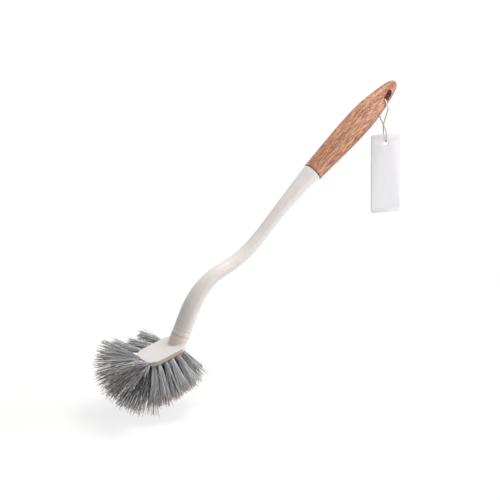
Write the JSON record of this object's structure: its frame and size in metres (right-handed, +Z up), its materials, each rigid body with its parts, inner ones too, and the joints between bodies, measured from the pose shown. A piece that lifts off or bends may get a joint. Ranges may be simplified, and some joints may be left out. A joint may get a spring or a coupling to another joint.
{
  "type": "toilet brush",
  "caption": "Long-handled toilet brush: an oblong head of splayed bristle tufts on an S-bent stem, with a leaf-shaped grip and a blank hang tag on a string.",
  "frame": {"origin": "middle of the hanging slot, in the brush's plane of symmetry", "axes": "+X level from the head towards the grip's tip, +Y across the brush, +Z up; the brush is stored at the tilt it has in the picture, about 36 degrees at the grip"},
  "size_m": [0.3426, 0.0889, 0.2702],
  "materials": {
    "cream_plastic": "satin moulded",
    "wood_look_grip": "satin wood-grain look",
    "grey_bristle": "matt filament",
    "cotton_string": "twisted cord",
    "white_card": "smooth card"
  },
  "bodies": {
    "brush": {"head_block": "cream_plastic", "stem": "cream_plastic", "grip": "wood_look_grip", "near_tuft_1": "grey_bristle", "near_tuft_2": "grey_bristle", "near_tuft_3": "grey_bristle", "near_tuft_4": "grey_bristle", "near_tuft_5": "grey_bristle", "near_tuft_6": "grey_bristle", "far_tuft_1": "grey_bristle", "far_tuft_2": "grey_bristle", "far_tuft_3": "grey_bristle", "far_tuft_4": "grey_bristle", "front_tuft_1": "grey_bristle", "front_tuft_2": "grey_bristle", "front_tuft_3": "grey_bristle", "front_tuft_4": "grey_bristle", "inner_tuft_1": "grey_bristle", "inner_tuft_2": "grey_bristle", "inner_tuft_3": "grey_bristle", "inner_tuft_4": "grey_bristle", "inner_tuft_5": "grey_bristle", "inner_tuft_6": "grey_bristle", "inner_tuft_7": "grey_bristle", "inner_tuft_8": "grey_bristle", "middle_tuft_1": "grey_bristle", "middle_tuft_2": "grey_bristle", "middle_tuft_3": "grey_bristle", "nose_tuft_1": "grey_bristle", "nose_tuft_2": "grey_bristle", "nose_tuft_3": "grey_bristle", "nose_tuft_4": "grey_bristle", "nose_tuft_5": "grey_bristle", "side_tuft_1": "grey_bristle", "side_tuft_2": "grey_bristle", "side_tuft_3": "grey_bristle"},
    "string_loop": {"card_string": "cotton_string", "string_knot": "cotton_string"},
    "tag": {"blank_card": "white_card"}
  },
  "joints": [
    {"name": "string_swing", "type": "hinge", "parent": "brush", "child": "string_loop", "pos_m": [-0.0012, 0, -0.0038], "axis": [0, 1, 0], "range_deg": [-10, 10]},
    {"name": "tag_swing", "type": "hinge", "parent": "string_loop", "child": "tag", "pos_m": [0.001, -0.0027, -0.0468], "axis": [-0.2756, -0.9613, 0], "range_deg": [-20, 20]}
  ]
}
